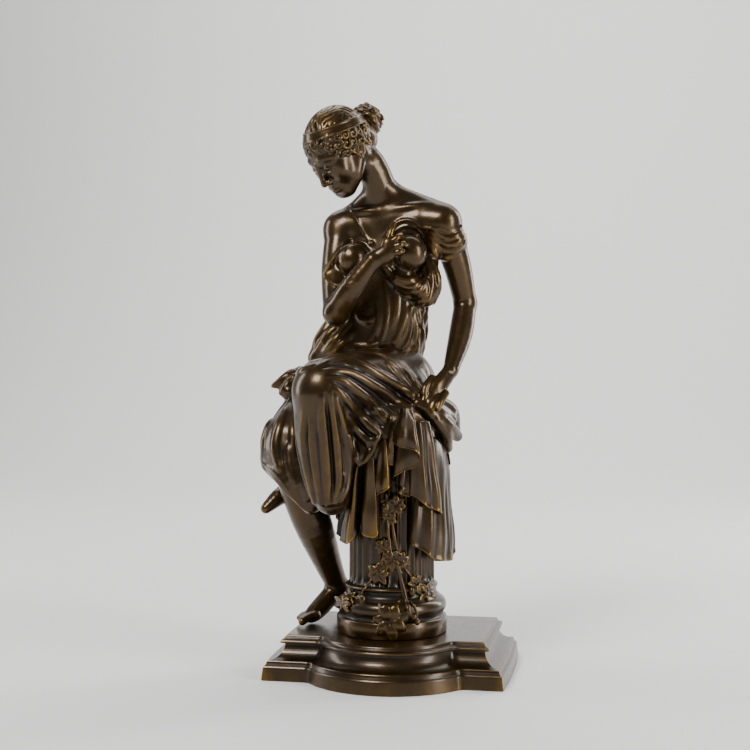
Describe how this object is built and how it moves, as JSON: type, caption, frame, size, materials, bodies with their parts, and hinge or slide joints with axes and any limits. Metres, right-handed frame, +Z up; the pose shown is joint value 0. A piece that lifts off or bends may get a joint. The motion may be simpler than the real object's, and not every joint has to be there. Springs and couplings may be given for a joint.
{
  "type": "bronze seated woman figurine",
  "caption": "Patinated bronze statuette of a draped seated woman on a fluted column stump with vine, on a moulded bow-fronted plinth",
  "frame": {"origin": "on the table, under the middle of the plinth's rectangular top plate", "axes": "+X along the plinth's straight front to the viewer's right, the bowed front faces -Y, +Z up"},
  "size_m": [0.2724, 0.2186, 0.5976],
  "materials": {
    "figure_bronze": "dark brown waxed bronze patina, rubbed golden brown on ridges",
    "column_bronze": "dark brown waxed bronze patina, golden brown on the vine",
    "plinth_bronze": "dark brown waxed bronze patina, rubbed edges"
  },
  "bodies": {
    "root": {"seated_figure": "figure_bronze", "vine_column": "column_bronze", "plinth": "plinth_bronze"}
  },
  "joints": []
}
